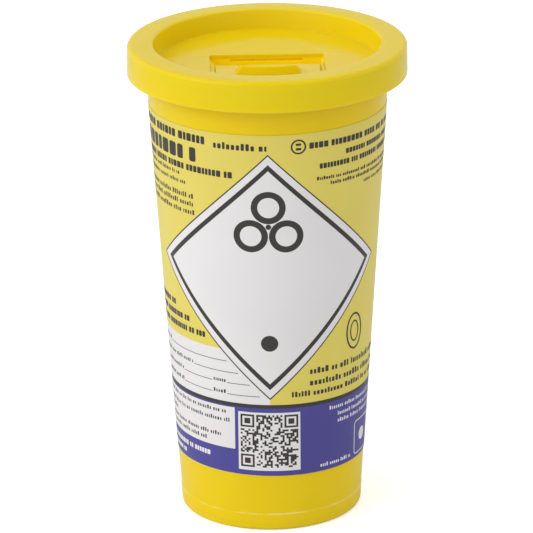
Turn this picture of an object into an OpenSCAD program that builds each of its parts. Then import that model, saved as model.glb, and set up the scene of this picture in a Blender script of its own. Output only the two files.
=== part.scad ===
// Mini sharps container: a tapered tub, a press-on lid with a sliding door over its aperture,
// a locking catch under the lid, and a label wrapped round the tub.
// Origin at the centre of the base plane, +Z up, front at -Y. The door slides towards +Y to close.

/* [Tub] */
// Outer radius at the base
tub_foot_r = 32.6; // [31:0.1:33]
// Outer radius just under the lid's skirt
tub_top_r = 43.3; // [43.2:0.05:43.5]
// Wall thickness
tub_wall = 1.4; // [1.2:0.05:1.6]
// Floor thickness
tub_floor = 1.6; // [1.2:0.1:2.4]
// Height of the foot ring under the floor
foot_h = 2.4; // [1.5:0.1:3]
// Width of the foot ring
foot_w = 2.6; // [2:0.1:4]
// Height of the small ledge round the foot
ledge_z = 6.6; // [4:0.1:9]
// How far that ledge stands out
ledge_out = 0.16; // [0.1:0.02:0.4]
// Outer radius of the rim that the lid snaps over
rim_r = 48.5; // [48:0.05:48.6]
// Depth of the rim's turned-down lip
rim_lip = 4.6; // [3:0.1:5]

/* [Lid] */
// Height of the closed container
total_h = 175.2; // [170:0.1:185]
// Outer radius of the lid at its top
lid_r = 50; // [50:0.05:51]
// How far the skirt flares out towards its bottom edge
skirt_flare = 0.1; // [0.1:0.05:0.6]
// Height of the skirt
skirt_h = 11.2; // [10:0.1:12]
// Skirt thickness
skirt_wall = 1.2; // [1:0.05:1.25]
// Thickness of the top ring
ring_t = 1.6; // [1.2:0.1:1.8]
// Radius of the round recess at the top
recess_r = 40.6; // [40:0.1:41]
// Depth of the recess
recess_depth = 7; // [6.8:0.1:8]
// Thickness of the recessed floor
floor_t = 1.7; // [1.5:0.05:1.8]
// Thickness of the plug wall that fits inside the tub
plug_wall = 1.4; // [1.2:0.05:1.5]

/* [Aperture and door] */
// Width of the pocket in the lid's floor
pocket_w = 41; // [40:0.1:42]
// Back edge of the aperture
aperture_back = 7.2; // [6:0.1:8]
// Back edge of the door when it is open
door_back = -5; // [-5.5:0.1:-4.5]
// Length of the door plate, front to back
door_len = 20; // [18:0.1:21]
// Width of the door plate between its rails
door_w = 37.2; // [36:0.1:37.4]
// Gap left behind the closed door
door_gap = 0.2; // [0.1:0.05:0.4]
// Height of the finger tab above the lid's floor
tab_h = 3.3; // [2:0.1:4]
// Width of the finger tab along its foot
tab_w = 23.4; // [20:0.1:28]
// Lean of the tab's ends from upright
tab_lean = 32; // [0:1:45]
// How far the middle of the tab's push face bulges forward
tab_bulge = 1.6; // [1:0.1:3]
// Where the tab's push face stands when the door is open
tab_face_y = -18.5; // [-19:0.1:-15]
// Where the upper rails begin, behind which the door is free
rail_back = -2.6; // [-4:0.1:0]

/* [Locking catch] */
// Width of the slot that takes the door's tongue
slot_w = 26; // [24:0.5:28]
// Height of that slot
slot_h = 0.9; // [0.85:0.01:1]
// Width of the catch
catch_w = 14; // [10:0.5:18]
// Where the catch bends
catch_root_y = 20; // [18:0.1:22]

/* [Label] */
// Lower edge of the label
label_low = 22; // [20:0.1:30]
// Upper edge of the label
label_high = 153.6; // [140:0.1:158]
// Label thickness
label_t = 0.15; // [0.1:0.01:0.2]
// Angle of the bare strip at the label's back seam
label_gap = 6; // [2:0.5:20]

/* [Hidden] */
$fn = 120;

YELLOW = "#E8CC22";
DOOR_YELLOW = "#E0C41E";
LABEL_YELLOW = "#EBDD86";

cut = 1;              // how far a cutting shape passes the face it cuts
touch_gap = 0.1;      // clearance between the seated lid and the tub's rim
arc_steps = 5;        // straight steps in a small rounded edge

// Tub
skirt_z = total_h - skirt_h;
taper = (tub_top_r - tub_foot_r) / skirt_z;
foot_round = 1.6;
inner_fillet = 3.0;
rim_top = total_h - ring_t - touch_gap;
rim_t = 1.4;
rim_round = 0.6;
tub_floor_z = foot_h + tub_floor;

// Lid
floor_z = total_h - recess_depth;
floor_under = floor_z - floor_t;
recess_floor_r = recess_r - 0.8;
outer_round = 1.5;
inner_round = 0.7;
skirt_edge_round = 0.4;
plug_depth = 2.8;
bead_r = rim_r + 0.15;
bead_z = rim_top - rim_lip - 1.4;
bead_half = 0.7;
seal_z = floor_z + 2.6;
seal_gap = 0.12;
seal_half = 0.5;

// Door, its rails and its tray
door_t = 1.8;
door_top = floor_z - 0.1;
door_under = door_top - door_t;
door_front = door_back - door_len;
flange_t = 0.6;
flange_w = pocket_w - 0.6;
rail_gap = 0.4;
rail_w = 0.9;
rail_z = door_under + flange_t + 0.3;
rail_web_t = 0.5;
tray_z = door_under - 0.2;
tray_t = 1.3;
tray_wall = 1.4;
tray_front = door_front - 1;
tongue_root = 1.0;
tray_back = door_back - tongue_root - 0.3;
ledge_w = 0.8;
door_travel = aperture_back - door_gap - door_back;
tab_crest_len = 1.4;
tab_slope_len = 6.2;
tab_corner = 1.1;

// Slot, tongue and catch
slot_top = floor_under;
back_wall_t = 1.0;
tongue_len = 3.6;
tongue_w = slot_w - 1.2;
tongue_top = slot_top - 0.2;
tongue_t = 0.55;
notch_w = 9.6;
notch_len = 1.4;
notch_from_end = 0.7;
tooth_gap = 0.25;
catch_t = 1.1;
catch_top = tongue_top - tongue_t - 0.85;
catch_tip_y = aperture_back + back_wall_t + 0.2;
tooth_h = 0.7;
root_len = 1.6;
boss_gap = 0.15;
notch_back = aperture_back - door_gap + tongue_len - notch_from_end;

// Outer radius of the tub at height z
function tub_r(z) = tub_foot_r + taper * z;

// Inner radius of the lid's recess wall at height z
function recess_wall_r(z) =
    recess_floor_r + (recess_r - recess_floor_r) * (z - floor_z) / recess_depth;

// Points on an arc about c, from angle a to angle b
function arc(c, r, a, b) =
    [for (i = [0 : arc_steps]) c + r * [cos(a + (b - a) * i / arc_steps),
                                       sin(a + (b - a) * i / arc_steps)]];

// A box given by its lowest and highest corners
module span(low, high) {
    translate(low) cube(high - low);
}

// A box that is mirrored about the YZ plane and present on both sides
module both_sides(low, high) {
    span(low, high);
    mirror([1, 0, 0]) span(low, high);
}

// Closed outline of the tub's wall, floor, foot ring and rim
function tub_outline() = concat(
    [[0, tub_floor_z], [0, foot_h], [tub_foot_r - foot_w, foot_h], [tub_foot_r - foot_w, 0]],
    arc([tub_r(foot_round) + ledge_out - foot_round, foot_round], foot_round, -90, 0),
    [[tub_r(ledge_z) + ledge_out, ledge_z - ledge_out], [tub_r(ledge_z), ledge_z]],
    [[tub_r(rim_top - rim_t), rim_top - rim_t], [rim_r - rim_t, rim_top - rim_t]],
    arc([rim_r - rim_round, rim_top - rim_lip + rim_round], rim_round, -150, 0),
    arc([rim_r - rim_round, rim_top - rim_round], rim_round, 0, 90),
    arc([tub_r(rim_top) - tub_wall + rim_round, rim_top - rim_round], rim_round, 90, 180),
    arc([tub_r(tub_floor_z) - tub_wall - inner_fillet, tub_floor_z + inner_fillet],
        inner_fillet, 0, -90)
);

module tub() {
    color(YELLOW) rotate_extrude() polygon(tub_outline());
}

// Closed outline of the lid's skirt, top ring, recess wall, floor and plug
function lid_outline() = concat(
    [[0, floor_under], [0, floor_z]],
    arc([recess_floor_r - inner_round, floor_z + inner_round], inner_round, -90, 0),
    arc([recess_r + inner_round, total_h - inner_round], inner_round, 180, 90),
    arc([lid_r - outer_round, total_h - outer_round], outer_round, 90, 0),
    arc([lid_r + skirt_flare - skirt_edge_round, skirt_z + skirt_edge_round],
        skirt_edge_round, 0, -90),
    [[lid_r + skirt_flare - skirt_wall, skirt_z],
     [lid_r + skirt_flare - skirt_wall, bead_z - bead_half],
     [bead_r, bead_z],
     [lid_r - skirt_wall + skirt_flare / 2, bead_z + bead_half],
     [lid_r - skirt_wall, total_h - ring_t],
     [recess_r + plug_wall, total_h - ring_t],
     [recess_wall_r(seal_z) + plug_wall, seal_z + seal_half],
     [tub_r(seal_z) - tub_wall - seal_gap, seal_z],
     [recess_wall_r(seal_z) + plug_wall, seal_z - seal_half],
     [recess_floor_r + plug_wall, floor_under - plug_depth],
     [recess_floor_r, floor_under - plug_depth],
     [recess_floor_r, floor_under]]
);

// The tray that the open door is parked on, its side walls, and the deeper wall behind the aperture
module pocket_surround() {
    half = pocket_w / 2;
    span([-half - tray_wall, tray_front - tray_wall, tray_z - tray_t],
         [half + tray_wall, aperture_back + back_wall_t, floor_under]);
    span([-half - tray_wall, aperture_back - cut, floor_under - plug_depth],
         [half + tray_wall, aperture_back + back_wall_t, floor_under]);
}

// The space that the door moves in, and the aperture below it
module pocket_space() {
    half = pocket_w / 2;
    span([-half, tray_front, tray_z], [half, aperture_back, floor_z + cut]);
    span([ledge_w - half, tray_back, tray_z - tray_t - plug_depth],
         [half - ledge_w, aperture_back, floor_z]);
}

// Upper rails: a web over the door's flange with a narrow upstand along its inner edge
module rails() {
    inner = door_w / 2 + rail_gap;
    half = pocket_w / 2;
    both_sides([inner, tray_front, rail_z], [half, rail_back, rail_z + rail_web_t]);
    both_sides([inner, tray_front, rail_z], [inner + rail_w, rail_back, floor_z]);
}

// The slot in the aperture's back wall, and the open space behind it for the tongue and the catch
module tongue_slot() {
    span([-slot_w / 2, aperture_back - cut, slot_top - slot_h],
         [slot_w / 2, aperture_back + back_wall_t + cut, slot_top]);
}

module lid() {
    color(YELLOW) {
        difference() {
            union() {
                rotate_extrude() polygon(lid_outline());
                pocket_surround();
            }
            pocket_space();
            tongue_slot();
        }
        rails();
        // boss that the catch hangs from
        span([-catch_w / 2, catch_root_y - root_len / 2, catch_top + boss_gap],
             [catch_w / 2, catch_root_y + root_len / 2, floor_under]);
    }
}

// Front outline of the finger tab: half width a at the foot, height b, leaning ends and rounded upper corners
function tab_outline(a, b) =
    let (x = a - (tab_corner + sin(tab_lean) * (b - tab_corner)) / cos(tab_lean))
    concat(arc([x, b - tab_corner], tab_corner, tab_lean, 90),
           arc([-x, b - tab_corner], tab_corner, 90, 180 - tab_lean),
           [[-a, 0], [a, 0]]);

// Finger tab: an upright push face that bulges to the front, a flat crest and a slope behind
module finger_tab() {
    face_r = (tab_w * tab_w / 4 + tab_bulge * tab_bulge) / (2 * tab_bulge);
    length = tab_crest_len + tab_slope_len;
    sunk = 0.3;
    translate([0, tab_face_y, floor_z - sunk]) intersection() {
        translate([0, length, 0]) rotate([90, 0, 0]) linear_extrude(length + cut)
            polygon(tab_outline(tab_w / 2 + sunk * tan(tab_lean), tab_h + sunk));
        translate([-tab_w, 0, 0]) rotate([90, 0, 90]) linear_extrude(2 * tab_w) polygon([
            [-cut, 0], [-cut, tab_h + cut], [tab_crest_len, tab_h + cut],
            [tab_crest_len, tab_h + sunk], [length, 0]]);
        translate([0, face_r, -cut]) cylinder(h = tab_h + 2 * cut, r = face_r);
    }
}

module sliding_door() {
    color(DOOR_YELLOW) {
        span([-door_w / 2, door_front, door_under], [door_w / 2, door_back, door_top]);
        span([-flange_w / 2, door_front, door_under], [flange_w / 2, door_back, door_under + flange_t]);
        finger_tab();
        // locking tongue, stepped down to pass under the lid's floor
        difference() {
            span([-tongue_w / 2, door_back - tongue_root, tongue_top - tongue_t],
                 [tongue_w / 2, door_back + tongue_len, tongue_top]);
            span([-notch_w / 2, notch_back - door_travel - notch_len, tongue_top - tongue_t - cut],
                 [notch_w / 2, notch_back - door_travel, tongue_top + cut]);
        }
    }
}

module locking_catch() {
    color(YELLOW) {
        span([-catch_w / 2, catch_tip_y, catch_top - catch_t],
             [catch_w / 2, catch_root_y, catch_top]);
        // rounded root that it bends about
        translate([-catch_w / 2, catch_root_y, catch_top - catch_t / 2]) rotate([0, 90, 0])
            cylinder(h = catch_w, r = catch_t / 2);
        span([tooth_gap - notch_w / 2, notch_back - notch_len + tooth_gap, catch_top],
             [notch_w / 2 - tooth_gap, notch_back - tooth_gap, catch_top + tooth_h]);
    }
}

module wrap_label() {
    stand_off = 0.02;
    color(LABEL_YELLOW) rotate([0, 0, 90 + label_gap / 2]) rotate_extrude(angle = 360 - label_gap)
        polygon([
            [tub_r(label_low) + stand_off, label_low],
            [tub_r(label_low) + stand_off + label_t, label_low],
            [tub_r(label_high) + stand_off + label_t, label_high],
            [tub_r(label_high) + stand_off, label_high]]);
}

tub();
lid();
sliding_door();
locking_catch();
wrap_label();
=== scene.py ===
"""Looks of a small sharps container: tub, press-on lid, sliding door, locking catch and a printed label.

Outlines are written in millimetres and turned into metres when a mesh is made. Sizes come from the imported
frame where it holds them. The print on the label is plain blocks, rings and bars, and says nothing.
"""

import math
import random
from math import atan, atan2, cos, degrees, hypot, pi, radians, sin, sqrt, tan

import bmesh
import bpy
from mathutils import Matrix, Vector


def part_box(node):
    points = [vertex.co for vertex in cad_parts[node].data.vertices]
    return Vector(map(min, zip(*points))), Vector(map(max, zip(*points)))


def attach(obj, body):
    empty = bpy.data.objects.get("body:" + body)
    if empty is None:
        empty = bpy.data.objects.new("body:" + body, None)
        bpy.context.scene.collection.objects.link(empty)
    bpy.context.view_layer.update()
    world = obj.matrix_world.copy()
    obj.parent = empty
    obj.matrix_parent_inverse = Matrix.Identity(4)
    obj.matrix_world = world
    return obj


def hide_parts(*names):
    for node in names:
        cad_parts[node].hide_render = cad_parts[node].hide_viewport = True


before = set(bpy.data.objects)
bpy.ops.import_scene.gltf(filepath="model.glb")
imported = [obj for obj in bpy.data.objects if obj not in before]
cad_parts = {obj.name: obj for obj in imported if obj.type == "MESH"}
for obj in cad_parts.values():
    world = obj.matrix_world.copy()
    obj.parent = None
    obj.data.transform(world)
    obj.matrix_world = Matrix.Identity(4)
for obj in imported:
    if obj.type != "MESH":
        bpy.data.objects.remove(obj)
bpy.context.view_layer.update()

MM = 0.001

# ---------------------------------------------------------------- sizes, in mm


def box_mm(node):
    """Lowest and highest corner of a CAD node, in millimetres."""
    low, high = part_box(node)
    return low / MM, high / MM


_, tub_high = box_mm("tub")
lid_low, lid_high = box_mm("lid")
door_low, door_high = box_mm("sliding_door")
catch_low, catch_high = box_mm("locking_catch")
label_low, label_high = box_mm("wrap_label")

# Tub
SKIRT_H = 11.2
TOTAL_H = lid_high.z
SKIRT_Z = TOTAL_H - SKIRT_H
LABEL_T = 0.15
STAND_OFF = 0.02
FOOT_R = 32.6
TAPER = (label_high.x - LABEL_T - STAND_OFF - FOOT_R) / label_high.z
TUB_WALL = 1.4
TUB_FLOOR_Z = 4.0
FOOT_H = 2.4
FOOT_W = 2.6
LEDGE_Z = 6.6
LEDGE_OUT = 0.16
LEDGE_EDGE = 0.12
FOOT_ROUND = 1.6
FOOT_EDGE = 0.4
FOOT_FILLET = 0.8
RIM_R = tub_high.x
RIM_TOP = tub_high.z
RIM_T = 1.4
RIM_LIP = 4.6
RIM_ROUND = 0.6
RIM_FILLET = 1.0
INNER_FILLET = 3.0
GATE_R = 3.0             # raised ring and sunk dot that the moulding gate leaves under the floor
GATE_DOT_R = 1.0

# Lid
SKIRT_R = lid_high.x
LID_R = SKIRT_R - 0.1
SKIRT_WALL = 1.2
RING_T = 1.6
RECESS_R = 40.6
RECESS_FLOOR_R = 39.8
RECESS_DEPTH = 7.0
PANEL_Z = TOTAL_H - RECESS_DEPTH
PANEL_T = 1.7
PANEL_UNDER = PANEL_Z - PANEL_T
PLUG_WALL = 1.4
PLUG_END = lid_low.z
BEAD_R = RIM_R + 0.15
BEAD_Z = RIM_TOP - RIM_LIP - 1.4
BEAD_HALF = 0.7
SEAL_Z = PANEL_Z + 2.6
SEAL_HALF = 0.5
SEAL_GAP = 0.12
RING_OUTER_ROUND = 1.6
RING_INNER_ROUND = 0.8
PANEL_CORNER = 0.25
SKIRT_EDGE = 0.4
PLUG_EDGE = 0.3
UNION_SINK = 0.4         # how far a joined block reaches into the shape it joins

# Door, rails and pocket
POCKET_HALF = 20.5
POCKET_BACK = 7.2
POCKET_FRONT = -26.0
TRAY_T = 1.3
TRAY_WALL = 1.4
TRAY_BACK = -6.3
BACK_WALL_T = 1.0
POCKET_LIP = 0.22        # how far the pocket's mouth flares
APERTURE_INSET = 0.8
DOOR_HALF = 18.6
FLANGE_HALF = door_high.x
DOOR_FRONT = door_low.y
DOOR_BACK = -5.0
DOOR_TOP = PANEL_Z - 0.1
DOOR_UNDER = DOOR_TOP - 1.8
FLANGE_T = 0.6
POCKET_BOTTOM = DOOR_UNDER - 0.2
TONGUE_BACK = door_high.y
TONGUE_UNDER = door_low.z
TONGUE_T = 0.55
TONGUE_HALF = 12.4
TONGUE_ROOT = 1.0
NOTCH_HALF = 4.8
NOTCH_LEN = 1.4
NOTCH_FROM_END = 0.7
RAIL_IN = DOOR_HALF + 0.4
RAIL_W = 0.9
RAIL_WEB_Z = DOOR_UNDER + FLANGE_T + 0.3
RAIL_BACK = -2.6
SLOT_HALF = 13.0
SLOT_H = 0.9
TAB_W = 23.4
TAB_H = door_high.z - PANEL_Z
TAB_FACE_Y = -18.5
TAB_BULGE = 1.6
TAB_LEAN = radians(32)   # lean of the tab's ends from upright
TAB_CORNER = 1.1
TAB_CREST = 1.4
TAB_SLOPE = 6.2
CATCH_HALF = catch_high.x
CATCH_T = 1.1
TOOTH_HALF = 4.55
TOOTH_LEN = 0.9
TOOTH_TO_ROOT = 10.9     # from the tooth's back face to the end of the catch's root

# Label
LABEL_LOW = label_low.z
LABEL_HIGH = label_high.z
LABEL_GAP = 6.0          # degrees left bare at the back seam
PRINT_TURN = -1.7        # degrees that the print's middle sits round from the front
PRINT_TILT = 0.6         # mm that the label's right side sits lower and its left side higher
FACET = 2.0              # degrees per flat strip of the label and its print
INK_STEP = 0.015         # height of one print layer above the last
INK_T = 0.010            # thickness of a print layer
LAYOUT_LOW = 22.6        # edges of the label in the print's layout, which is stretched to the real label
LAYOUT_HIGH = 154.9

SLANT = atan(TAPER)


def tub_r(z):
    """Outer radius of the tub at height z."""
    return FOOT_R + TAPER * z


def laid_out(z):
    """Height on the tub of a height z in the print's layout."""
    return LABEL_LOW + (z - LAYOUT_LOW) * (LABEL_HIGH - LABEL_LOW) / (LAYOUT_HIGH - LAYOUT_LOW)


# ---------------------------------------------------------------- mesh helpers


def arc(centre, radius, start, end, steps=6):
    """Points on an arc from angle start to angle end, in degrees."""
    angles = [radians(start + (end - start) * i / steps) for i in range(steps + 1)]
    return [(centre[0] + radius * cos(a), centre[1] + radius * sin(a)) for a in angles]


def make_object(name, points, faces):
    """A new object from points in mm, with its normals facing outwards."""
    mesh = bpy.data.meshes.new(name)
    mesh.from_pydata([Vector(p) * MM for p in points], [], faces)
    bm = bmesh.new()
    bm.from_mesh(mesh)
    bmesh.ops.remove_doubles(bm, verts=bm.verts, dist=1e-7)
    bmesh.ops.recalc_face_normals(bm, faces=bm.faces)
    bm.to_mesh(mesh)
    bm.free()
    obj = bpy.data.objects.new(name, mesh)
    bpy.context.scene.collection.objects.link(obj)
    return obj


def smooth(obj, angle=28):
    """Smooth shading with edges sharper than angle kept crisp."""
    mesh = obj.data
    mesh.polygons.foreach_set("use_smooth", [True] * len(mesh.polygons))
    mesh.set_sharp_from_angle(angle=radians(angle))
    mesh.update()
    return obj


def revolve(name, outline, turns=240):
    """A closed solid of revolution. The outline of (radius, height) starts and ends on the axis."""
    rings = [p for p in outline if p[0] > 1e-6]
    points = []
    for r, z in rings:
        for k in range(turns):
            a = 2 * pi * k / turns
            points.append((r * sin(a), -r * cos(a), z))
    faces = []
    for i in range(len(rings) - 1):
        for k in range(turns):
            n = (k + 1) % turns
            faces.append((i * turns + k, i * turns + n, (i + 1) * turns + n, (i + 1) * turns + k))
    faces.append(tuple(range(turns)))
    last = (len(rings) - 1) * turns
    faces.append(tuple(range(last, last + turns)))
    return make_object(name, points, faces)


def rounded_outline(low, high, corner, steps=5):
    """Outline of a rectangle with rounded corners, anticlockwise from the right side."""
    x0, y0, x1, y1 = *low, *high
    outline = arc((x1 - corner, y1 - corner), corner, 0, 90, steps)
    outline += arc((x0 + corner, y1 - corner), corner, 90, 180, steps)
    outline += arc((x0 + corner, y0 + corner), corner, 180, 270, steps)
    outline += arc((x1 - corner, y0 + corner), corner, 270, 360, steps)
    return outline


def block(name, low, high, corner=0.3, edge=0.0, lip=0.0, along="z"):
    """A box with rounded corners seen along one axis.

    edge rounds its end edges inwards. lip flares the far end, for a cutter that leaves a rounded mouth.
    """
    order = {"x": (1, 2, 0), "y": (2, 0, 1), "z": (0, 1, 2)}[along]
    u0, v0, w0 = [low[i] for i in order]
    u1, v1, w1 = [high[i] for i in order]
    steps = 4
    rings = [(w0, 0.0), (w1, 0.0)]
    if edge:
        turn = [radians(90 * i / steps) for i in range(steps + 1)]
        rings = [(w0 + edge * (1 - cos(t)), -edge * (1 - sin(t))) for t in turn]
        rings += [(w1 - edge * (1 - cos(t)), -edge * (1 - sin(t))) for t in reversed(turn)]
    if lip:
        turn = [radians(90 * i / steps) for i in range(steps + 1)]
        mouth = w1 - 1.0
        rings = [(w0, 0.0)] + [(mouth - lip * (1 - sin(t)), lip * (1 - cos(t))) for t in turn]
        rings.append((w1, lip))
    points = []
    for w, grow in rings:
        r = max(corner + grow, 0.02)
        for u, v in rounded_outline((u0 - grow, v0 - grow), (u1 + grow, v1 + grow), r):
            p = [0.0, 0.0, 0.0]
            p[order[0]], p[order[1]], p[order[2]] = u, v, w
            points.append(p)
    n = len(points) // len(rings)
    faces = [tuple(range(n)), tuple(range(len(points) - n, len(points)))]
    for i in range(len(rings) - 1):
        for k in range(n):
            m = (k + 1) % n
            faces.append((i * n + k, i * n + m, (i + 1) * n + m, (i + 1) * n + k))
    return make_object(name, points, faces)


def combine(target, operation, *tools):
    """Applies one exact boolean per tool to the target and removes the tools."""
    for tool in tools:
        modifier = target.modifiers.new("combine", "BOOLEAN")
        modifier.operation = operation
        modifier.solver = "EXACT"
        modifier.object = tool
    graph = bpy.context.evaluated_depsgraph_get()
    mesh = bpy.data.meshes.new_from_object(target.evaluated_get(graph), depsgraph=graph)
    target.modifiers.clear()
    target.data = mesh
    for tool in tools:
        bpy.data.objects.remove(tool)
    return target


def clean(obj):
    """Welds leftovers of the booleans and merges flat neighbours into whole faces."""
    bm = bmesh.new()
    bm.from_mesh(obj.data)
    bmesh.ops.remove_doubles(bm, verts=bm.verts, dist=2e-6)
    bmesh.ops.dissolve_degenerate(bm, edges=bm.edges, dist=1e-6)
    bmesh.ops.dissolve_limit(bm, angle_limit=radians(0.05), verts=bm.verts, edges=bm.edges)
    bm.to_mesh(obj.data)
    bm.free()
    return obj


# ---------------------------------------------------------------- tub and lid


def build_tub():
    """Tapered wall with a rolled rim, a foot ring, the small ledge round the foot and a gate mark below."""
    floor_r = tub_r(TUB_FLOOR_Z) - TUB_WALL
    outline = [(0, TUB_FLOOR_Z)]
    outline += arc((floor_r - INNER_FILLET, TUB_FLOOR_Z + INNER_FILLET), INNER_FILLET, -90, 0, 10)
    outline += arc((tub_r(RIM_TOP) - TUB_WALL + RIM_ROUND, RIM_TOP - RIM_ROUND), RIM_ROUND, 180, 90)
    outline += arc((RIM_R - RIM_ROUND, RIM_TOP - RIM_ROUND), RIM_ROUND, 90, 0)
    outline += arc((RIM_R - RIM_ROUND, RIM_TOP - RIM_LIP + RIM_ROUND), RIM_ROUND, 0, -150)
    outline += [(RIM_R - RIM_T, RIM_TOP - RIM_T - 0.5)]
    outline += arc((tub_r(RIM_TOP) + RIM_FILLET, RIM_TOP - RIM_T - RIM_FILLET), RIM_FILLET, 90, 180, 4)
    outline += [(tub_r(z), z) for z in (SKIRT_Z, LABEL_HIGH, 100.0, LABEL_LOW, LEDGE_Z + 0.4)]
    outline += arc((tub_r(LEDGE_Z) + LEDGE_OUT - LEDGE_EDGE, LEDGE_Z - LEDGE_EDGE), LEDGE_EDGE, 80, 0, 3)
    outline += arc((tub_r(FOOT_ROUND) + LEDGE_OUT - FOOT_ROUND, FOOT_ROUND), FOOT_ROUND, 0, -90, 8)
    outline += arc((FOOT_R - FOOT_W + FOOT_EDGE, FOOT_EDGE), FOOT_EDGE, -90, -180, 4)
    outline += arc((FOOT_R - FOOT_W - FOOT_FILLET, FOOT_H - FOOT_FILLET), FOOT_FILLET, 0, 90, 4)
    outline += [(GATE_R + 0.2, FOOT_H), (GATE_R, FOOT_H - 0.3), (GATE_DOT_R + 0.2, FOOT_H - 0.3)]
    outline += [(GATE_DOT_R, FOOT_H - 0.9), (0, FOOT_H - 0.9)]
    return smooth(revolve("tub_shell", outline))


def build_lid():
    """Skirt, rounded top ring, recessed panel and plug, with the pocket, rails and slot worked into it."""

    def wall_r(z):
        return RECESS_FLOOR_R + (RECESS_R - RECESS_FLOOR_R) * (z - PANEL_Z) / RECESS_DEPTH

    outline = [(0, PANEL_Z)]
    outline += arc((RECESS_FLOOR_R - PANEL_CORNER, PANEL_Z + PANEL_CORNER), PANEL_CORNER, -90, -6)
    outline += arc((RECESS_R + RING_INNER_ROUND, TOTAL_H - RING_INNER_ROUND), RING_INNER_ROUND, 174, 90)
    outline += arc((LID_R - RING_OUTER_ROUND, TOTAL_H - RING_OUTER_ROUND), RING_OUTER_ROUND, 90, 4, 10)
    outline += arc((SKIRT_R - SKIRT_EDGE, SKIRT_Z + SKIRT_EDGE), SKIRT_EDGE, 4, -90)
    outline += arc((SKIRT_R - SKIRT_WALL + 0.2, SKIRT_Z + 0.2), 0.2, -90, -180, 3)
    outline += [(SKIRT_R - SKIRT_WALL, BEAD_Z - BEAD_HALF), (BEAD_R + 0.1, BEAD_Z - 0.15)]
    outline += [(BEAD_R + 0.1, BEAD_Z + 0.15), (LID_R - SKIRT_WALL + 0.4, BEAD_Z + BEAD_HALF)]
    outline += [(LID_R - SKIRT_WALL, TOTAL_H - RING_T), (RECESS_R + PLUG_WALL, TOTAL_H - RING_T)]
    outline += [(wall_r(SEAL_Z) + PLUG_WALL, SEAL_Z + SEAL_HALF)]
    outline += [(tub_r(SEAL_Z) - TUB_WALL - SEAL_GAP, SEAL_Z)]
    outline += [(wall_r(SEAL_Z) + PLUG_WALL, SEAL_Z - SEAL_HALF)]
    outline += arc((RECESS_FLOOR_R + PLUG_WALL - PLUG_EDGE, PLUG_END + PLUG_EDGE), PLUG_EDGE, 0, -90, 3)
    outline += arc((RECESS_FLOOR_R + PLUG_EDGE, PLUG_END + PLUG_EDGE), PLUG_EDGE, -90, -180, 3)
    outline += arc((RECESS_FLOOR_R - 0.6, PANEL_UNDER - 0.6), 0.6, 0, 90, 4)
    outline += [(0, PANEL_UNDER)]
    lid = revolve("lid_shell", outline)

    surround = block(
        "surround",
        (-POCKET_HALF - TRAY_WALL, POCKET_FRONT - TRAY_WALL, POCKET_BOTTOM - TRAY_T),
        (POCKET_HALF + TRAY_WALL, POCKET_BACK + BACK_WALL_T, PANEL_UNDER + UNION_SINK),
        corner=1.2, edge=0.25)
    screen = block(
        "screen", (-POCKET_HALF - TRAY_WALL, POCKET_BACK - 1.0, PLUG_END),
        (POCKET_HALF + TRAY_WALL, POCKET_BACK + BACK_WALL_T, PANEL_UNDER + UNION_SINK), corner=0.4, edge=0.2)
    boss = block(
        "boss", (-CATCH_HALF, catch_high.y - 1.35, catch_high.z - 0.55),
        (CATCH_HALF, catch_high.y + 0.25, PANEL_UNDER + UNION_SINK),
        corner=0.3, edge=0.1)
    combine(lid, "UNION", surround, screen, boss)

    pocket = block(
        "pocket", (-POCKET_HALF, POCKET_FRONT, POCKET_BOTTOM), (POCKET_HALF, POCKET_BACK, PANEL_Z + 1.0),
        corner=0.5, lip=POCKET_LIP)
    aperture = block(
        "aperture", (APERTURE_INSET - POCKET_HALF, TRAY_BACK, PLUG_END - 1),
        (POCKET_HALF - APERTURE_INSET, POCKET_BACK, POCKET_BOTTOM + 1), corner=0.5)
    slot = block(
        "slot", (-SLOT_HALF, POCKET_BACK - 1, PANEL_UNDER - SLOT_H),
        (SLOT_HALF, POCKET_BACK + BACK_WALL_T + 1, PANEL_UNDER), corner=0.2, along="y")
    mouth = block(
        "mouth", (-SLOT_HALF - 0.2, POCKET_BACK - 1, PANEL_UNDER - SLOT_H - 0.25),
        (SLOT_HALF + 0.2, POCKET_BACK + 0.3, PANEL_UNDER - 0.05), corner=0.1, along="y")
    combine(lid, "DIFFERENCE", pocket, aperture, slot, mouth)

    rails = []
    for side in (-1, 1):
        for name, width, low_z, high_z, edge in (
                ("web", POCKET_HALF + UNION_SINK - RAIL_IN, RAIL_WEB_Z, RAIL_WEB_Z + 0.5, 0.12),
                ("upstand", RAIL_W, RAIL_WEB_Z + 0.1, PANEL_Z, 0.14)):
            x0, x1 = sorted((side * RAIL_IN, side * (RAIL_IN + width)))
            rails.append(block(name, (x0, POCKET_FRONT - UNION_SINK, low_z), (x1, RAIL_BACK, high_z),
                               corner=0.2, edge=edge))
    combine(lid, "UNION", *rails)
    return smooth(clean(lid), 30)


def tab_height(x):
    """Height of the finger tab at a distance x from its middle: flat top, rounded corners, leaning ends."""
    x = abs(x)
    corner_x = TAB_W / 2 - (TAB_CORNER + sin(TAB_LEAN) * (TAB_H - TAB_CORNER)) / cos(TAB_LEAN)
    if x < corner_x:
        return TAB_H
    if x < corner_x + TAB_CORNER * cos(TAB_LEAN):
        return TAB_H - TAB_CORNER + sqrt(TAB_CORNER ** 2 - (x - corner_x) ** 2)
    return (TAB_W / 2 - x) / tan(TAB_LEAN)


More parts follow.
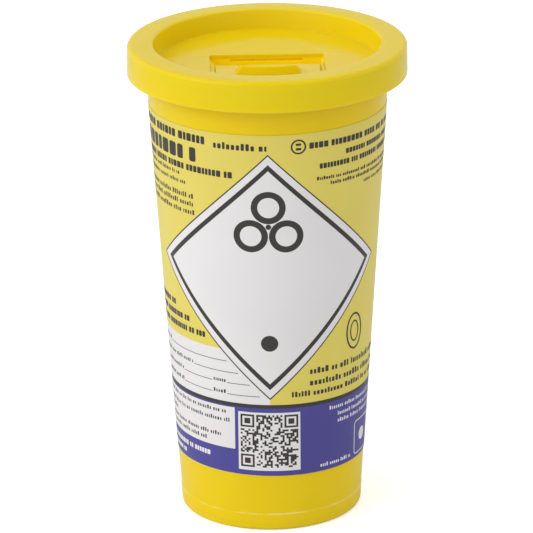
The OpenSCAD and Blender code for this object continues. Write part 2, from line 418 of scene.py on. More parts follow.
def tab_profile(x):
    """Side outline of the finger tab at x from its middle, as (y, z) from the front foot to the back foot."""
    crown = tab_height(x)
    bulge_r = (TAB_W ** 2 / 4 + TAB_BULGE ** 2) / (2 * TAB_BULGE)
    face_y = TAB_FACE_Y + bulge_r - sqrt(bulge_r ** 2 - x * x)
    slope_y = TAB_FACE_Y + TAB_CREST + (1 - crown / TAB_H) * TAB_SLOPE
    foot_y = TAB_FACE_Y + TAB_CREST + TAB_SLOPE
    round_r = min(0.55, crown * 0.45, (slope_y - face_y) * 0.3)
    profile = [(face_y - 0.12, PANEL_Z - UNION_SINK), (face_y - 0.1, PANEL_Z - 0.1)]
    profile.append((face_y, PANEL_Z + 0.15 * crown / TAB_H))
    profile += arc((face_y + round_r, PANEL_Z + crown - round_r), round_r, 180, 90, 5)
    tangent = degrees(atan2(TAB_SLOPE, TAB_H))
    soft = min(1.6, crown * 0.8)
    for i in range(5):
        a = radians(90 - i / 4 * (90 - tangent))
        profile.append((slope_y + soft * (0.9 * cos(a) - 0.3), PANEL_Z + crown - soft * 0.9 * (1 - sin(a))))
    profile += [(foot_y - 0.25, PANEL_Z + 0.02), (foot_y + 0.1, PANEL_Z - UNION_SINK)]
    return profile


def build_tab():
    """The crowned finger tab as one closed shell, lofted from its side outlines."""
    columns = 48
    points, count = [], 0
    for i in range(columns + 1):
        x = TAB_W / 2 * 0.998 * sin(radians(-90 + 180 * i / columns))
        profile = tab_profile(x)
        count = len(profile)
        points += [(x, y, z) for y, z in profile]
    faces = [tuple(range(count)), tuple(range(columns * count, (columns + 1) * count))]
    for i in range(columns):
        for k in range(count):
            m = (k + 1) % count
            faces.append((i * count + k, i * count + m, (i + 1) * count + m, (i + 1) * count + k))
    return make_object("tab", points, faces)


def build_door():
    """Door plate between its flanges, the finger tab on top and the notched locking tongue behind."""
    door = block("door", (-DOOR_HALF, DOOR_FRONT, DOOR_UNDER), (DOOR_HALF, DOOR_BACK, DOOR_TOP),
                 corner=0.5, edge=0.22)
    flange = block("flange", (-FLANGE_HALF, DOOR_FRONT + 0.01, DOOR_UNDER + 0.01),
                   (FLANGE_HALF, DOOR_BACK - 0.01, DOOR_UNDER + FLANGE_T), corner=0.3, edge=0.12)
    tongue = block("tongue", (-TONGUE_HALF, DOOR_BACK - TONGUE_ROOT, TONGUE_UNDER),
                   (TONGUE_HALF, TONGUE_BACK, TONGUE_UNDER + TONGUE_T), corner=0.5, edge=0.1)
    root = block("root", (0.2 - TONGUE_HALF, DOOR_BACK - TONGUE_ROOT + 0.05, TONGUE_UNDER + 0.2),
                 (TONGUE_HALF - 0.2, DOOR_BACK - 0.3, DOOR_UNDER + 0.5), corner=0.2)
    combine(door, "UNION", flange, tongue, root, build_tab())
    notch = block("notch", (-NOTCH_HALF, TONGUE_BACK - NOTCH_FROM_END - NOTCH_LEN, TONGUE_UNDER - 1),
                  (NOTCH_HALF, TONGUE_BACK - NOTCH_FROM_END, DOOR_UNDER + 0.3), corner=0.3)
    combine(door, "DIFFERENCE", notch)
    return smooth(clean(door), 30)


def build_catch():
    """Flexing tongue with a tooth near its tip and a rounded root."""
    top = catch_low.z + CATCH_T
    tongue = block("catch", (-CATCH_HALF, catch_low.y, catch_low.z), (CATCH_HALF, catch_high.y, top),
                   corner=CATCH_T / 2 - 0.01, edge=0.15, along="x")
    tooth_back = catch_high.y - TOOTH_TO_ROOT
    tooth = block("tooth", (-TOOTH_HALF, tooth_back - TOOTH_LEN, top - 0.3),
                  (TOOTH_HALF, tooth_back, catch_high.z), corner=0.15, edge=0.12)
    combine(tongue, "UNION", tooth)
    return smooth(clean(tongue), 30)


# ---------------------------------------------------------------- label and print


PANEL_CENTRE_Z = laid_out(100.3)
PANEL_HALF = 47.3        # from the emblem panel's centre to its corners


def on_arc(s, z):
    """(angle, height) of a point s mm round the label from the print's middle, at the layout's height z."""
    return s / tub_r(laid_out(z)), laid_out(z)


def on_flat(x, y):
    """(angle, height) of a point of the emblem panel, laid out flat about its centre."""
    centre = tub_r(PANEL_CENTRE_Z) / sin(SLANT)
    distance = hypot(x, centre + y)
    return atan2(x, centre + y) / sin(SLANT), PANEL_CENTRE_Z + (distance - centre) * cos(SLANT)


class Film:
    """Thin closed solids that follow the label, made of flat polygons split along the label's strips."""

    def __init__(self, name, turn=PRINT_TURN):
        self.name = name
        self.turn = radians(turn)
        self.polygons = []

    def add(self, outline, low, high):
        """A polygon of (angle, height) points as a film from low to high mm off the tub's wall."""
        moved = [(a + self.turn, z - PRINT_TILT * sin(a + self.turn)) for a, z in outline]
        self.polygons.append((moved, low, high))

    def strips(self, outline):
        """The parts of an outline that lie in each strip of the label."""
        step = radians(FACET)
        angles = [a for a, _ in outline]
        for k in range(math.floor(min(angles) / step + 1e-6), math.ceil(max(angles) / step - 1e-6)):
            part = clip(clip(outline, k * step, 1), (k + 1) * step, -1)
            if len(part) > 2:
                yield k, part

    def build(self):
        """The finished object, with each film welded along its strips and closed at its edges."""
        points, faces = [], []
        for outline, low, high in self.polygons:
            index, tops = {}, []
            for k, part in self.strips(outline):
                face = []
                for a, z in part:
                    key = (round(a, 6), round(z, 4))
                    if key not in index:
                        index[key] = (len(index), k, a, z)
                    if not face or index[key][0] != face[-1]:
                        face.append(index[key][0])
                if face[0] == face[-1]:
                    face.pop()
                if len(face) > 2:
                    tops.append(face)
            base, count = len(points), len(index)
            for offset in (high, low):
                points += [wrapped(k, a, z, offset) for _, k, a, z in index.values()]
            edges = {}
            for face in tops:
                for p, q in zip(face, face[1:] + face[:1]):
                    edges[(p, q)] = edges.get((p, q), 0) + 1
            for face in tops:
                faces.append([base + p for p in face])
                faces.append([base + count + p for p in reversed(face)])
            for p, q in edges:
                if (q, p) not in edges:
                    faces.append([base + q, base + p, base + count + p, base + count + q])
        mesh = bpy.data.meshes.new(self.name)
        mesh.from_pydata([Vector(p) * MM for p in points], [], faces)
        mesh.validate()
        obj = bpy.data.objects.new(self.name, mesh)
        bpy.context.scene.collection.objects.link(obj)
        return smooth(obj)


def clip(outline, limit, side):
    """The part of an outline whose angles are above (side 1) or below (side -1) a limit."""
    kept = []
    for p, q in zip(outline, outline[1:] + outline[:1]):
        p_in, q_in = side * (p[0] - limit) >= 0, side * (q[0] - limit) >= 0
        if p_in:
            kept.append(p)
        if p_in != q_in:
            t = (limit - p[0]) / (q[0] - p[0])
            kept.append((limit, p[1] + t * (q[1] - p[1])))
    return kept


def wrapped(strip, a, z, offset):
    """A point of the flat strip that stands for its part of the cone, offset from the tub's wall."""
    half = radians(FACET) / 2
    middle = (2 * strip + 1) * half
    r = (tub_r(z) + offset / cos(SLANT)) * cos(half) / cos(a - middle)
    return r * sin(a), -r * cos(a), z


def divided(outline, step=2.0):
    """An outline with extra points along its long edges, so that they bend with the label."""
    points = []
    for p, q in zip(outline, outline[1:] + outline[:1]):
        n = max(1, round(hypot(q[0] - p[0], q[1] - p[1]) / step))
        points += [(p[0] + (q[0] - p[0]) * i / n, p[1] + (q[1] - p[1]) * i / n) for i in range(n)]
    return points


def layer(number):
    """Lower and upper face of print layer 1, 2 or 3, in mm off the tub's wall."""
    top = STAND_OFF + LABEL_T + number * INK_STEP
    return top - INK_T, top


class Ink(Film):
    """One colour of print. Shapes are given in mm round the label (s) and up it (z)."""

    def shape(self, outline, level=3, place=on_arc):
        self.add([place(*p) for p in outline], *layer(level))

    def bar(self, s0, z0, s1, z1, corner=0.0, level=3):
        if corner:
            self.shape(rounded_outline((s0, z0), (s1, z1), corner, 3), level)
        else:
            self.shape([(s1, z1), (s0, z1), (s0, z0), (s1, z0)], level)

    def disc(self, centre, radius, level=3, place=on_arc):
        self.shape(arc(centre, radius, 0, 345, 23), level, place)

    def ring(self, centre, size, stroke, level=3, place=on_arc, start=0, sweep=360):
        """An oval ring of half width and half height size, or a part of one."""
        steps = max(8, round(abs(sweep) / 7.5))
        for i in range(steps):
            a, b = [radians(start + sweep * k / steps) for k in (i, i + 1)]
            quad = [(size[0], size[1], a), (size[0], size[1], b),
                    (size[0] - stroke, size[1] - stroke, b), (size[0] - stroke, size[1] - stroke, a)]
            self.shape([(centre[0] + w * cos(t), centre[1] + h * sin(t)) for w, h, t in quad], level, place)

    def frame(self, outline, inner, level=3, place=on_arc, step=2.0):
        """The band between two outlines with the same number of points."""
        for p, q, r, s in zip(outline, outline[1:] + outline[:1], inner[1:] + inner[:1], inner):
            n = max(1, round(hypot(q[0] - p[0], q[1] - p[1]) / step))
            for i in range(n):
                t, u = i / n, (i + 1) / n
                quad = [mix(p, q, t), mix(p, q, u), mix(s, r, u), mix(s, r, t)]
                self.shape(quad, level, place)

    def words(self, start, end, base, height, weight, rng, level=3):
        """A line of small blocks, spaced like words, that stand for a line of print from start to end."""
        fill, gap = {"bold": (0.58, 0.15), "plain": (0.42, 0.22), "light": (0.34, 0.26)}[weight]
        blocks, s, left = [], 0.0, rng.randint(4, 9)
        while s < end - start:
            width = height * fill * rng.uniform(0.7, 1.35)
            tall = weight == "bold" or rng.random() < 0.3
            blocks.append((s, s + width, height if tall else height * 0.74))
            s += width + height * gap
            left -= 1
            if left == 0:
                s += height * 0.42
                left = rng.randint(2, 9)
        scale = (end - start) / blocks[-1][1]
        for s0, s1, tall in blocks:
            corner = min(0.14 * height, 0.3 * (s1 - s0) * scale)
            self.bar(start + s0 * scale, base, start + s1 * scale, base + tall, corner, level)


def mix(p, q, t):
    """The point a share t of the way from p to q."""
    return p[0] + (q[0] - p[0]) * t, p[1] + (q[1] - p[1]) * t


def diamond(half):
    """Corners of a square standing on its corner."""
    return [(half, 0), (0, half), (-half, 0), (0, -half)]


def square(s, z, low, high):
    """Corners of an upright square that reaches from low to high to the right of s and above z."""
    return [(s + high, z + low), (s + high, z + high), (s + low, z + high), (s + low, z + low)]


SIDE = 66.0              # how far round the label, in mm, the rows that pass out of sight begin and end
BAND_TOP = 49.5          # top of the blue band


def label_sheet():
    """The paper itself, with rounded corners at its seam."""
    sheet = Film("label_sheet", turn=0)
    half = pi - radians(LABEL_GAP / 2)
    r = tub_r(90)
    corner = 3.0
    outline = rounded_outline((-half * r, LABEL_LOW), (half * r, LABEL_HIGH), corner, 6)
    sheet.add([(s / r, z) for s, z in outline], STAND_OFF, STAND_OFF + LABEL_T)
    return sheet.build()


def emblem_panel(white, dark):
    """The large square on its corner, with a plain emblem of three rings and a dot below."""
    white.shape(divided(diamond(PANEL_HALF)), 2, on_flat)
    dark.frame(diamond(PANEL_HALF), diamond(46.65), place=on_flat)
    dark.frame(diamond(43.4), diamond(41.1), place=on_flat)
    centre = (0, 19.8)
    reach, outer, stroke = 7.3, 6.15, 2.3
    for turn in (90, 210, 330):
        lobe = (centre[0] + reach * cos(radians(turn)), centre[1] + reach * sin(radians(turn)))
        dark.ring(lobe, (outer, outer), stroke, place=on_flat)
    dark.disc(centre, 1.0, place=on_flat)
    dark.disc((0, -25.2), 3.1, place=on_flat)


def upper_rows(dark, rng):
    """Rows of print above the emblem panel, on its left and its right."""
    for end, base, height, weight in (
            (-23.3, 149.4, 3.0, "bold"), (-27.2, 141.9, 5.4, "bold"), (-12.8, 138.0, 2.4, "bold"),
            (-35.4, 135.4, 1.6, "light"), (-32.5, 132.3, 1.6, "light"),
            (-28.8, 127.4, 1.9, "light"), (-28.9, 124.4, 1.9, "light"), (-28.4, 121.2, 1.9, "light")):
        dark.words(-SIDE, end, base, height, weight, rng)
    dark.words(-19.7, -0.4, 148.9, 2.6, "plain", rng)
    dark.ring((10.9, 150.3), (2.8, 2.8), 0.6)
    dark.bar(9.9, 150.7, 11.9, 151.6, 0.3)
    dark.bar(9.9, 149.0, 11.9, 149.9, 0.3)
    for start, base, height, weight in (
            (14.9, 149.2, 2.3, "bold"), (29.9, 145.0, 1.9, "bold"), (18.8, 141.1, 2.0, "bold"),
            (17.7, 136.8, 1.4, "plain"), (23.2, 134.5, 1.4, "plain"), (39.6, 131.7, 1.3, "light")):
        dark.words(start, SIDE, base, height, weight, rng)


def form_zone(white, dark, rng):
    """White writing zone at the lower left, with ruled lines and small words on them."""
    white.bar(-SIDE, BAND_TOP + 1.3, 0.0, 71.6, level=1)
    for end, base, weight in ((-40.9, 82.8, "bold"), (-32.4, 78.6, "bold"), (-24.7, 74.4, "bold")):
        dark.words(-SIDE, end, base, 2.2, weight, rng)
    dates = ((-50.0, -37.0), (-21.3, -16.4))
    for z, end, words in ((67.0, -15.8, ((-60.0, -47.0),)), (62.7, -11.5, ((-56.0, -31.0),)),
                          (58.5, -7.3, dates), (54.1, -3.6, dates)):
        start = -SIDE + 8
        for word in words:
            dark.words(word[0], word[1], z - 0.1, 1.5, "light", rng)
            if word[0] > start:
                dark.bar(start, z - 0.25, word[0] - 0.6, z - 0.02)
            start = word[1] + 0.6
        dark.bar(start, z - 0.25, end, z - 0.02)


def blue_band(blue, white, dark, rng):
    """Blue band round the foot of the label, with white panels and rows of white print."""
    sheet_half = pi - radians(LABEL_GAP / 2) - 0.004
    turn = radians(PRINT_TURN)
    for a0, a1 in ((-sheet_half - turn, 0.0), (0.0, sheet_half - turn)):
        steps = 40
        edge = [(a0 + (a1 - a0) * i / steps) for i in range(steps + 1)]
        low = [(a, LABEL_LOW + 0.02) for a in edge]
        blue.add(low + [(a, laid_out(BAND_TOP)) for a in reversed(edge)], *layer(1))
        line = [(a, laid_out(BAND_TOP - 0.1)) for a in edge]
        dark.add(line + [(a, laid_out(BAND_TOP + 1.35)) for a in reversed(edge)], *layer(2))
    white.bar(-SIDE, 32.4, -13.0, 48.9, level=2)
    for end, base in ((-16.5, 46.2), (-15.1, 42.8), (-44.0, 40.0), (-18.7, 36.7), (-25.1, 34.0)):
        dark.words(-SIDE + 3, end, base, 1.6, "light", rng)
    white.words(-SIDE + 4, -23.5, 27.8, 1.9, "bold", rng)
    white.words(-SIDE + 4, -37.5, 24.6, 1.7, "bold", rng)
    for start, base in ((22.7, 46.3), (26.6, 43.3), (26.6, 40.5)):
        white.words(start, SIDE - 6, base, 1.6, "light", rng)
    white.words(18.7, 33.8, 24.3, 1.5, "plain", rng)
    outer = rounded_outline((36.4, 23.9), (49.5, 37.6), 1.6, 4)
    inner = rounded_outline((36.85, 24.35), (49.05, 37.15), 1.15, 4)
    white.frame(outer, inner)
    white.disc((42.9, 30.8), 2.6)


def code_panel(white, dark, rng):
    """White square with a random grid of small cells and three plain corner squares. It holds no code."""
    white.bar(-11.7, 24.6, 10.8, 47.7, level=2)
    left, bottom, size, count = -10.85, 25.9, 20.9, 29
    cell = size / count
    corners = [(0, count - 7), (count - 7, count - 7), (0, 0)]
    for cx, cy in corners:
        s, z = left + cx * cell, bottom + cy * cell
        dark.frame(square(s, z, 0, 7 * cell), square(s, z, cell, 6 * cell), step=9)
        dark.bar(s + 2 * cell, z + 2 * cell, s + 5 * cell, z + 5 * cell)
    for row in range(count):
        run = None
        for column in range(count + 1):
            free = all(not (cx - 1 <= column < cx + 8 and cy - 1 <= row < cy + 8) for cx, cy in corners)
            on = column < count and free and rng.random() < 0.5
            if on and run is None:
                run = column
            if not on and run is not None:
                z = bottom + row * cell
                dark.bar(left + run * cell, z, left + column * cell, z + cell * 0.995)
                run = None


def lower_right(dark, rng):
    """Plain oval mark and three rows of print at the lower right."""
    dark.ring((35.3, 74.6), (4.6, 7.2), 0.75)
    dark.ring((35.3, 74.6), (2.5, 4.2), 0.6)
    for start, base, height in ((14.7, 62.0, 2.4), (14.6, 57.5, 2.4), (7.8, 53.6, 2.1)):
        dark.words(start, SIDE - 4, base, height, "plain", rng)


def back_panel(white, dark, rng):
    """The label's unseen back: three outlined pictures of plain bars, each with rows of small print."""
    for side in (-1, 1):
        for i in range(3):
            z = 132.0 - 27.0 * i
            s0, s1 = sorted((side * 80.0, side * 98.0))
            outer = rounded_outline((s0, z - 9.5), (s1, z + 9.5), 2.0, 4)
            inner = rounded_outline((s0 + 0.5, z - 9.0), (s1 - 0.5, z + 9.0), 1.5, 4)
            white.shape(divided(outer), 1)
            dark.frame(outer, inner)
            middle = (s0 + s1) / 2
            dark.bar(middle - 5.0, z + 3.2, middle + 5.0, z + 4.6, 0.4)
            dark.bar(middle - 4.0, z - 5.6, middle - 3.4, z + 2.6)
            dark.bar(middle + 3.4, z - 5.6, middle + 4.0, z + 2.6)
            dark.bar(middle - 3.3, z - 5.6, middle + 3.3, z - 5.0)
            dark.disc((middle + (i - 1) * 1.6, z - 1.2), 1.1)
            for k in range(2):
                dark.words(s0, s1 - 2.0 * k, z - 13.0 - 2.4 * k, 1.4, "light", rng)


def build_label():
    """The sheet and its three colours of print."""
    rng = random.Random(40)
    white, blue, dark = Ink("label_white_print"), Ink("label_blue_print"), Ink("label_dark_print")
    emblem_panel(white, dark)
    upper_rows(dark, rng)
    form_zone(white, dark, rng)
    blue_band(blue, white, dark, rng)
    code_panel(white, dark, rng)
    lower_right(dark, rng)
    back_panel(white, dark, rng)
    return label_sheet(), white.build(), blue.build(), dark.build()


# ---------------------------------------------------------------- materials


class Nodes:
    """Short forms for building a material's node tree."""

    def __init__(self, name):
        self.material = bpy.data.materials.new(name)
        self.material.use_nodes = True
        self.tree = self.material.node_tree
        self.surface = self.tree.nodes["Principled BSDF"]
        self.where = self.new("ShaderNodeTexCoord").outputs["Object"]

    def new(self, kind, **settings):
        node = self.tree.nodes.new(kind)
        for key, value in settings.items():
            setattr(node, key, value)
        return node

    def link(self, source, target):
        self.tree.links.new(source, target)

    def set(self, **values):
        """Sets inputs of the surface shader, named with _ for a space."""
        for key, value in values.items():
            self.surface.inputs[key.replace("_", " ")].default_value = value

    def scaled(self, x, y, z):
        """The object's coordinates, stretched."""
        mapping = self.new("ShaderNodeMapping")
        mapping.inputs["Scale"].default_value = (x, y, z)
        self.link(self.where, mapping.inputs["Vector"])
        return mapping.outputs["Vector"]

    def noise(self, scale, detail=3.0, vector=None, roughness=0.5):
        node = self.new("ShaderNodeTexNoise")
        node.inputs["Scale"].default_value = scale
        node.inputs["Detail"].default_value = detail
        node.inputs["Roughness"].default_value = roughness
        self.link(vector or self.where, node.inputs["Vector"])
        return node.outputs["Fac"]

    def range(self, value, low, high, from_low=0.3, from_high=0.7):
        node = self.new("ShaderNodeMapRange")
        self.link(value, node.inputs["Value"])
        ends = {"From Min": from_low, "From Max": from_high, "To Min": low, "To Max": high}
        for key, number in ends.items():
            node.inputs[key].default_value = number
        return node.outputs["Result"]

    def blend(self, share, first, second, mode="MIX"):
        """Mixes two colours, each a tuple or a socket, by a share that is a number or a socket."""
        node = self.new("ShaderNodeMix", data_type="RGBA", blend_type=mode)
        for socket, value in ((node.inputs[0], share), (node.inputs[6], first), (node.inputs[7], second)):
            if isinstance(value, (int, float)):
                socket.default_value = value
            elif isinstance(value, tuple):
                socket.default_value = (*value, 1.0)
            else:
                self.link(value, socket)
        return node.outputs[2]

    def maths(self, operation, first, second):
        """A maths node on two values, each a number or a socket."""
        node = self.new("ShaderNodeMath", operation=operation)
        for socket, value in zip(node.inputs, (first, second)):
            if isinstance(value, (int, float)):
                socket.default_value = value
            else:
                self.link(value, socket)
        return node.outputs[0]

    def edge_highlight_band(self, z, strength):
        """strength in a narrow broken band at the height z in mm: a painted highlight along an edge that
        catches the light.
        """
        split = self.new("ShaderNodeSeparateXYZ")
        self.link(self.where, split.inputs[0])
        away = self.maths("ABSOLUTE", self.maths("SUBTRACT", split.outputs["Z"], z * MM), 0.0)
        band = self.range(away, strength, 0.0, 0.00012, 0.00034)
        broken = self.range(self.noise(95.0, 5.0, roughness=0.7), 0.0, 1.0, 0.42, 0.62)
        return self.maths("MULTIPLY", band, broken)

    def inside(self, strength):
        """strength inside the tub's wall and under the lid's panel, and 0 elsewhere."""
        flat = self.new("ShaderNodeVectorMath", operation="LENGTH")
        self.link(self.scaled(1, 1, 0), flat.inputs[0])
        split = self.new("ShaderNodeSeparateXYZ")
        self.link(self.where, split.inputs[0])
        height = split.outputs["Z"]
        wall = self.maths("ADD", self.maths("MULTIPLY", height, TAPER), (FOOT_R - TUB_WALL / 2) * MM)
        depth = self.maths("SUBTRACT", wall, flat.outputs["Value"])
        across = self.range(depth, 0.0, strength, 0.0, 0.0004)
        under = self.range(height, 1.0, 0.0, (PANEL_UNDER - 0.4) * MM, (PANEL_UNDER + 0.6) * MM)
        above = self.range(height, 0.0, 1.0, (FOOT_H + 0.4) * MM, (FOOT_H + 1.2) * MM)
        return self.maths("MULTIPLY", self.maths("MULTIPLY", across, under), above)

    def bumps(self, *layers):
        """Stacks bumps, each a (height, strength, distance in metres), on the surface normal."""
        normal = None
        for height, strength, distance in layers:
            bump = self.new("ShaderNodeBump")
            bump.inputs["Strength"].default_value = strength
            bump.inputs["Distance"].default_value = distance
            self.link(height, bump.inputs["Height"])
            if normal:
                self.link(normal, bump.inputs["Normal"])
            normal = bump.outputs["Normal"]
        self.link(normal, self.surface.inputs["Normal"])

    def paint(self, colour):
        self.link(colour, self.surface.inputs["Base Color"])


# Each piece's colour, and the slightly deeper one that it drifts to
TUB_YELLOWS = (0.895, 0.668, 0.004), (0.87, 0.638, 0.003)
LID_YELLOWS = (0.90, 0.673, 0.004), (0.875, 0.643, 0.003)
DOOR_YELLOWS = (0.90, 0.695, 0.006), (0.875, 0.665, 0.005)
PAPER_YELLOWS = (0.83, 0.70, 0.135), (0.80, 0.67, 0.125)
WHITES = (0.86, 0.84, 0.845), (0.83, 0.81, 0.815)
BLUES = (0.088, 0.078, 0.335), (0.075, 0.066, 0.29)
DARKS = (0.055, 0.052, 0.048), (0.045, 0.042, 0.038)
WORN_YELLOW = (0.90, 0.69, 0.05)
# Pale colour of a painted highlight line along an edge
HIGHLIGHT_YELLOW = (0.93, 0.82, 0.34)
GLOW_YELLOW = (0.80, 0.64, 0.01)
INNER_GLOW = 0.20        # light that comes through the thin walls, next to a white surface's 1


def moulded_plastic(name, colour, deep, gloss, highlight_z, highlight_strength):
    """Yellow polypropylene: soft tone changes, a faint moulded skin, pale worn edges, a painted highlight
    line along one edge, and a glow inside.

    highlight_z is the height in mm of an edge that gets a painted highlight line, and highlight_strength says
    how bright it is.
    """
    n = Nodes(name)
    tone = n.range(n.noise(26.0, 4.0), 0.0, 1.0)
    painted = n.blend(tone, deep, colour)
    flow = n.range(n.noise(9.0, 2.0, n.scaled(1, 1, 6)), 0.0, 0.12, 0.42, 0.66)
    painted = n.blend(flow, painted, WORN_YELLOW)
    edges = n.range(n.new("ShaderNodeNewGeometry").outputs["Pointiness"], 0.0, 0.25, 0.54, 0.64)
    painted = n.blend(edges, painted, WORN_YELLOW)
    # Painted highlight: a pale broken line round the piece at one edge's height
    n.paint(n.blend(n.edge_highlight_band(highlight_z, highlight_strength), painted, HIGHLIGHT_YELLOW))
    scuffs = n.noise(520.0, 5.0, n.scaled(1, 1, 0.08), 0.7)
    n.link(n.range(scuffs, gloss - 0.02, gloss + 0.05, 0.35, 0.75), n.surface.inputs["Roughness"])
    n.set(IOR=1.49, Specular_IOR_Level=0.22)
    n.set(Subsurface_Weight=0.35, Subsurface_Radius=(1.0, 0.75, 0.10), Subsurface_Scale=0.0025)
    n.bumps((n.noise(70.0, 2.0), 0.10, 0.00004), (n.noise(2400.0, 3.0), 0.04, 0.000008))
    n.set(Emission_Color=(*GLOW_YELLOW, 1.0))
    n.link(n.inside(INNER_GLOW), n.surface.inputs["Emission Strength"])
    return n.material


def paper(name, colour, deep, gloss=0.40):
    """Coated label stock: faint fibres, slight waviness where it is stuck down, a thin clear coat."""
    n = Nodes(name)
    fibre = n.noise(1500.0, 4.0, n.scaled(1, 1, 0.35), 0.65)
    cloud = n.noise(32.0, 3.0)
    tone = n.blend(n.range(cloud, 0.0, 1.0), deep, colour)
    n.paint(n.blend(n.range(fibre, 0.0, 0.10, 0.4, 0.8), tone, deep))
    n.link(n.range(fibre, gloss - 0.05, gloss + 0.08), n.surface.inputs["Roughness"])
    n.set(IOR=1.46, Specular_IOR_Level=0.35, Coat_Weight=0.10, Coat_Roughness=0.25)
    n.bumps((n.noise(55.0, 2.0), 0.10, 0.00005), (fibre, 0.08, 0.000012))
    return n.material


def printed_ink(name, colour, deep, gloss=0.38):
    """Printed ink: tiny density speckle and slow density drift over the same paper."""
    n = Nodes(name)
    speckle = n.range(n.noise(2600.0, 3.0), 0.0, 0.55, 0.45, 0.8)
    drift = n.range(n.noise(24.0, 2.0), 0.0, 0.5)
    n.paint(n.blend(speckle, n.blend(drift, colour, deep), deep))
    fibre = n.noise(1500.0, 4.0, n.scaled(1, 1, 0.35), 0.65)
    n.link(n.range(fibre, gloss - 0.05, gloss + 0.08), n.surface.inputs["Roughness"])
    n.set(IOR=1.46, Specular_IOR_Level=0.25, Coat_Weight=0.05, Coat_Roughness=0.25)
    n.bumps((n.noise(55.0, 2.0), 0.10, 0.00005), (fibre, 0.08, 0.000012))
    return n.material


# ---------------------------------------------------------------- stage


def floor_material():
    """Pale seamless floor with the faintest mottle."""
    n = Nodes("floor_paper")
    n.paint(n.blend(n.range(n.noise(3.0, 2.0), 0.0, 1.0), (0.80, 0.80, 0.80), (0.83, 0.83, 0.83)))
    n.set(Roughness=0.6, Specular_IOR_Level=0.2, Emission_Color=(1.0, 1.0, 1.0, 1.0))
    direct = n.new("ShaderNodeLightPath").outputs["Is Camera Ray"]
    n.link(n.range(direct, 0.0, 0.5, 0.0, 1.0), n.surface.inputs["Emission Strength"])
    n.bumps((n.noise(400.0, 2.0), 0.05, 0.00005))
    return n.material


def build_stage():
    """Wide pale floor that the container stands on."""
    size, turns = 12000.0, 64
    ring = [(size * cos(2 * pi * k / turns), size * sin(2 * pi * k / turns), 0.0) for k in range(turns)]
    floor = make_object("stage_floor", ring, [tuple(range(turns))])
    floor.data.materials.append(floor_material())


def soft_light(name, direction, distance, size, power):
    """A square soft light that faces the middle of the container."""
    light = bpy.data.lights.new(name, "AREA")
    light.shape = "SQUARE"
    light.size = size
    light.energy = power
    obj = bpy.data.objects.new(name, light)
    middle = Vector((0, 0, TOTAL_H / 2 * MM))
    away = Vector(direction).normalized()
    obj.location = middle + away * distance
    obj.rotation_mode = "QUATERNION"
    obj.rotation_quaternion = away.to_track_quat("Z", "Y")
    obj.visible_camera = False
    bpy.context.scene.collection.objects.link(obj)


# Brightness of the surroundings in each direction
FRONT_SKY = 0.58
SIDE_SKY = 1.05
BACK_SKY = 0.72
TOP_SKY = 0.81


def build_world():
    """White at both sides, a little greyer at the back and overhead, and greyer still behind the camera."""
    world = bpy.data.worlds.new("studio")
    world.use_nodes = True
    tree = world.node_tree
    new, link = tree.nodes.new, tree.links.new
    background = tree.nodes["Background"]
    split = new("ShaderNodeSeparateXYZ")
    link(new("ShaderNodeTexCoord").outputs["Generated"], split.inputs["Vector"])

    def curve(value, points):
        """A smooth run through two or more (value, strength) points, where value goes from -1 to 1."""
        share = new("ShaderNodeMapRange")
        share.inputs["From Min"].default_value = -1.0
        link(value, share.inputs["Value"])
        ramp = new("ShaderNodeValToRGB")
        ramp.color_ramp.interpolation = "EASE"
        for i, (where, strength) in enumerate(points):
            stop = ramp.color_ramp.elements[i] if i < 2 else ramp.color_ramp.elements.new(1.0)
            stop.position = (where + 1) / 2
            stop.color = (strength, strength, strength, 1.0)
        link(share.outputs["Result"], ramp.inputs["Fac"])
        return ramp.outputs["Color"]

    round_about = curve(split.outputs["Y"], ((-0.9, FRONT_SKY), (0.1, SIDE_SKY), (0.85, BACK_SKY)))
    overhead = curve(split.outputs["Z"], ((0.3, 1.0), (1.0, TOP_SKY)))
    shade = new("ShaderNodeMix")
    shade.data_type = "RGBA"
    shade.blend_type = "MULTIPLY"
    shade.inputs[0].default_value = 1.0
    link(round_about, shade.inputs[6])
    link(overhead, shade.inputs[7])
    pick = new("ShaderNodeMix")
    pick.data_type = "RGBA"
    link(new("ShaderNodeLightPath").outputs["Is Camera Ray"], pick.inputs[0])
    link(shade.outputs[2], pick.inputs[6])
    pick.inputs[7].default_value = (1.0, 1.0, 1.0, 1.0)
    link(pick.outputs[2], background.inputs["Color"])
    bpy.context.scene.world = world


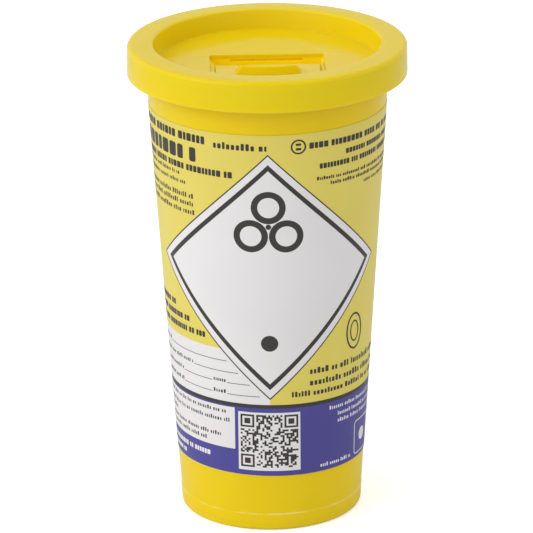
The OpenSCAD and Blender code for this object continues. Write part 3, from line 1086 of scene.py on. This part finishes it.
def build_camera():
    """Long lens, from the front and a little above. Angles in radians, distance in metres."""
    azimuth, pitch, roll = radians(-1.4), 0.3418, -0.0105
    distance, target = 1.6751, Vector((-1.02, 0.0, 90.0)) * MM
    back = Vector((sin(azimuth) * cos(pitch), -cos(azimuth) * cos(pitch), sin(pitch)))
    level = Vector((cos(azimuth), sin(azimuth), 0.0))
    upright = back.cross(level)
    right = level * cos(roll) + upright * sin(roll)
    up = upright * cos(roll) - level * sin(roll)
    data = bpy.data.cameras.new("camera")
    data.sensor_width = 36.0
    data.lens = 312.1
    data.clip_end = 60.0
    camera = bpy.data.objects.new("camera", data)
    turn = Matrix((right, up, back)).transposed().to_4x4()
    camera.matrix_world = Matrix.Translation(target + back * distance) @ turn
    bpy.context.scene.collection.objects.link(camera)
    bpy.context.scene.camera = camera


# ---------------------------------------------------------------- assembly


def place(obj, body, slot, material, *nodes):
    """Gives a piece its material, its body and the CAD nodes it stands for."""
    obj.data.materials.clear()
    obj.data.materials.append(material)
    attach(obj, body)
    if nodes:
        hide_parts(*nodes)


# Painted highlights: a pale line at the tub's foot ledge and at the lid skirt's lower edge, and none on the
# door
tub_plastic = moulded_plastic("tub_plastic", *TUB_YELLOWS, gloss=0.22, highlight_z=LEDGE_Z, highlight_strength=0.9)
lid_plastic = moulded_plastic("lid_plastic", *LID_YELLOWS, gloss=0.18, highlight_z=SKIRT_Z + 0.1, highlight_strength=0.4)
door_plastic = moulded_plastic("door_plastic", *DOOR_YELLOWS, gloss=0.18, highlight_z=TOTAL_H, highlight_strength=0.0)

place(build_tub(), "tub", "tub_plastic", tub_plastic, "tub")
place(build_lid(), "lid", "lid_plastic", lid_plastic, "lid")
place(build_door(), "door", "door_plastic", door_plastic, "sliding_door")
place(build_catch(), "catch", "lid_plastic", lid_plastic, "locking_catch")

sheet, white, blue, dark = build_label()
place(sheet, "tub", "label_paper", paper("label_stock", *PAPER_YELLOWS), "wrap_label")
place(white, "tub", "label_paper", paper("white_print", *WHITES))
place(blue, "tub", "label_paper", printed_ink("blue_print", *BLUES))
place(dark, "tub", "label_paper", printed_ink("dark_print", *DARKS))

build_stage()
build_world()
soft_light("key", (-0.80, -0.60, 0.55), 2.2, 1.5, 16.0)
build_camera()
bpy.context.scene.view_settings.view_transform = "Standard"
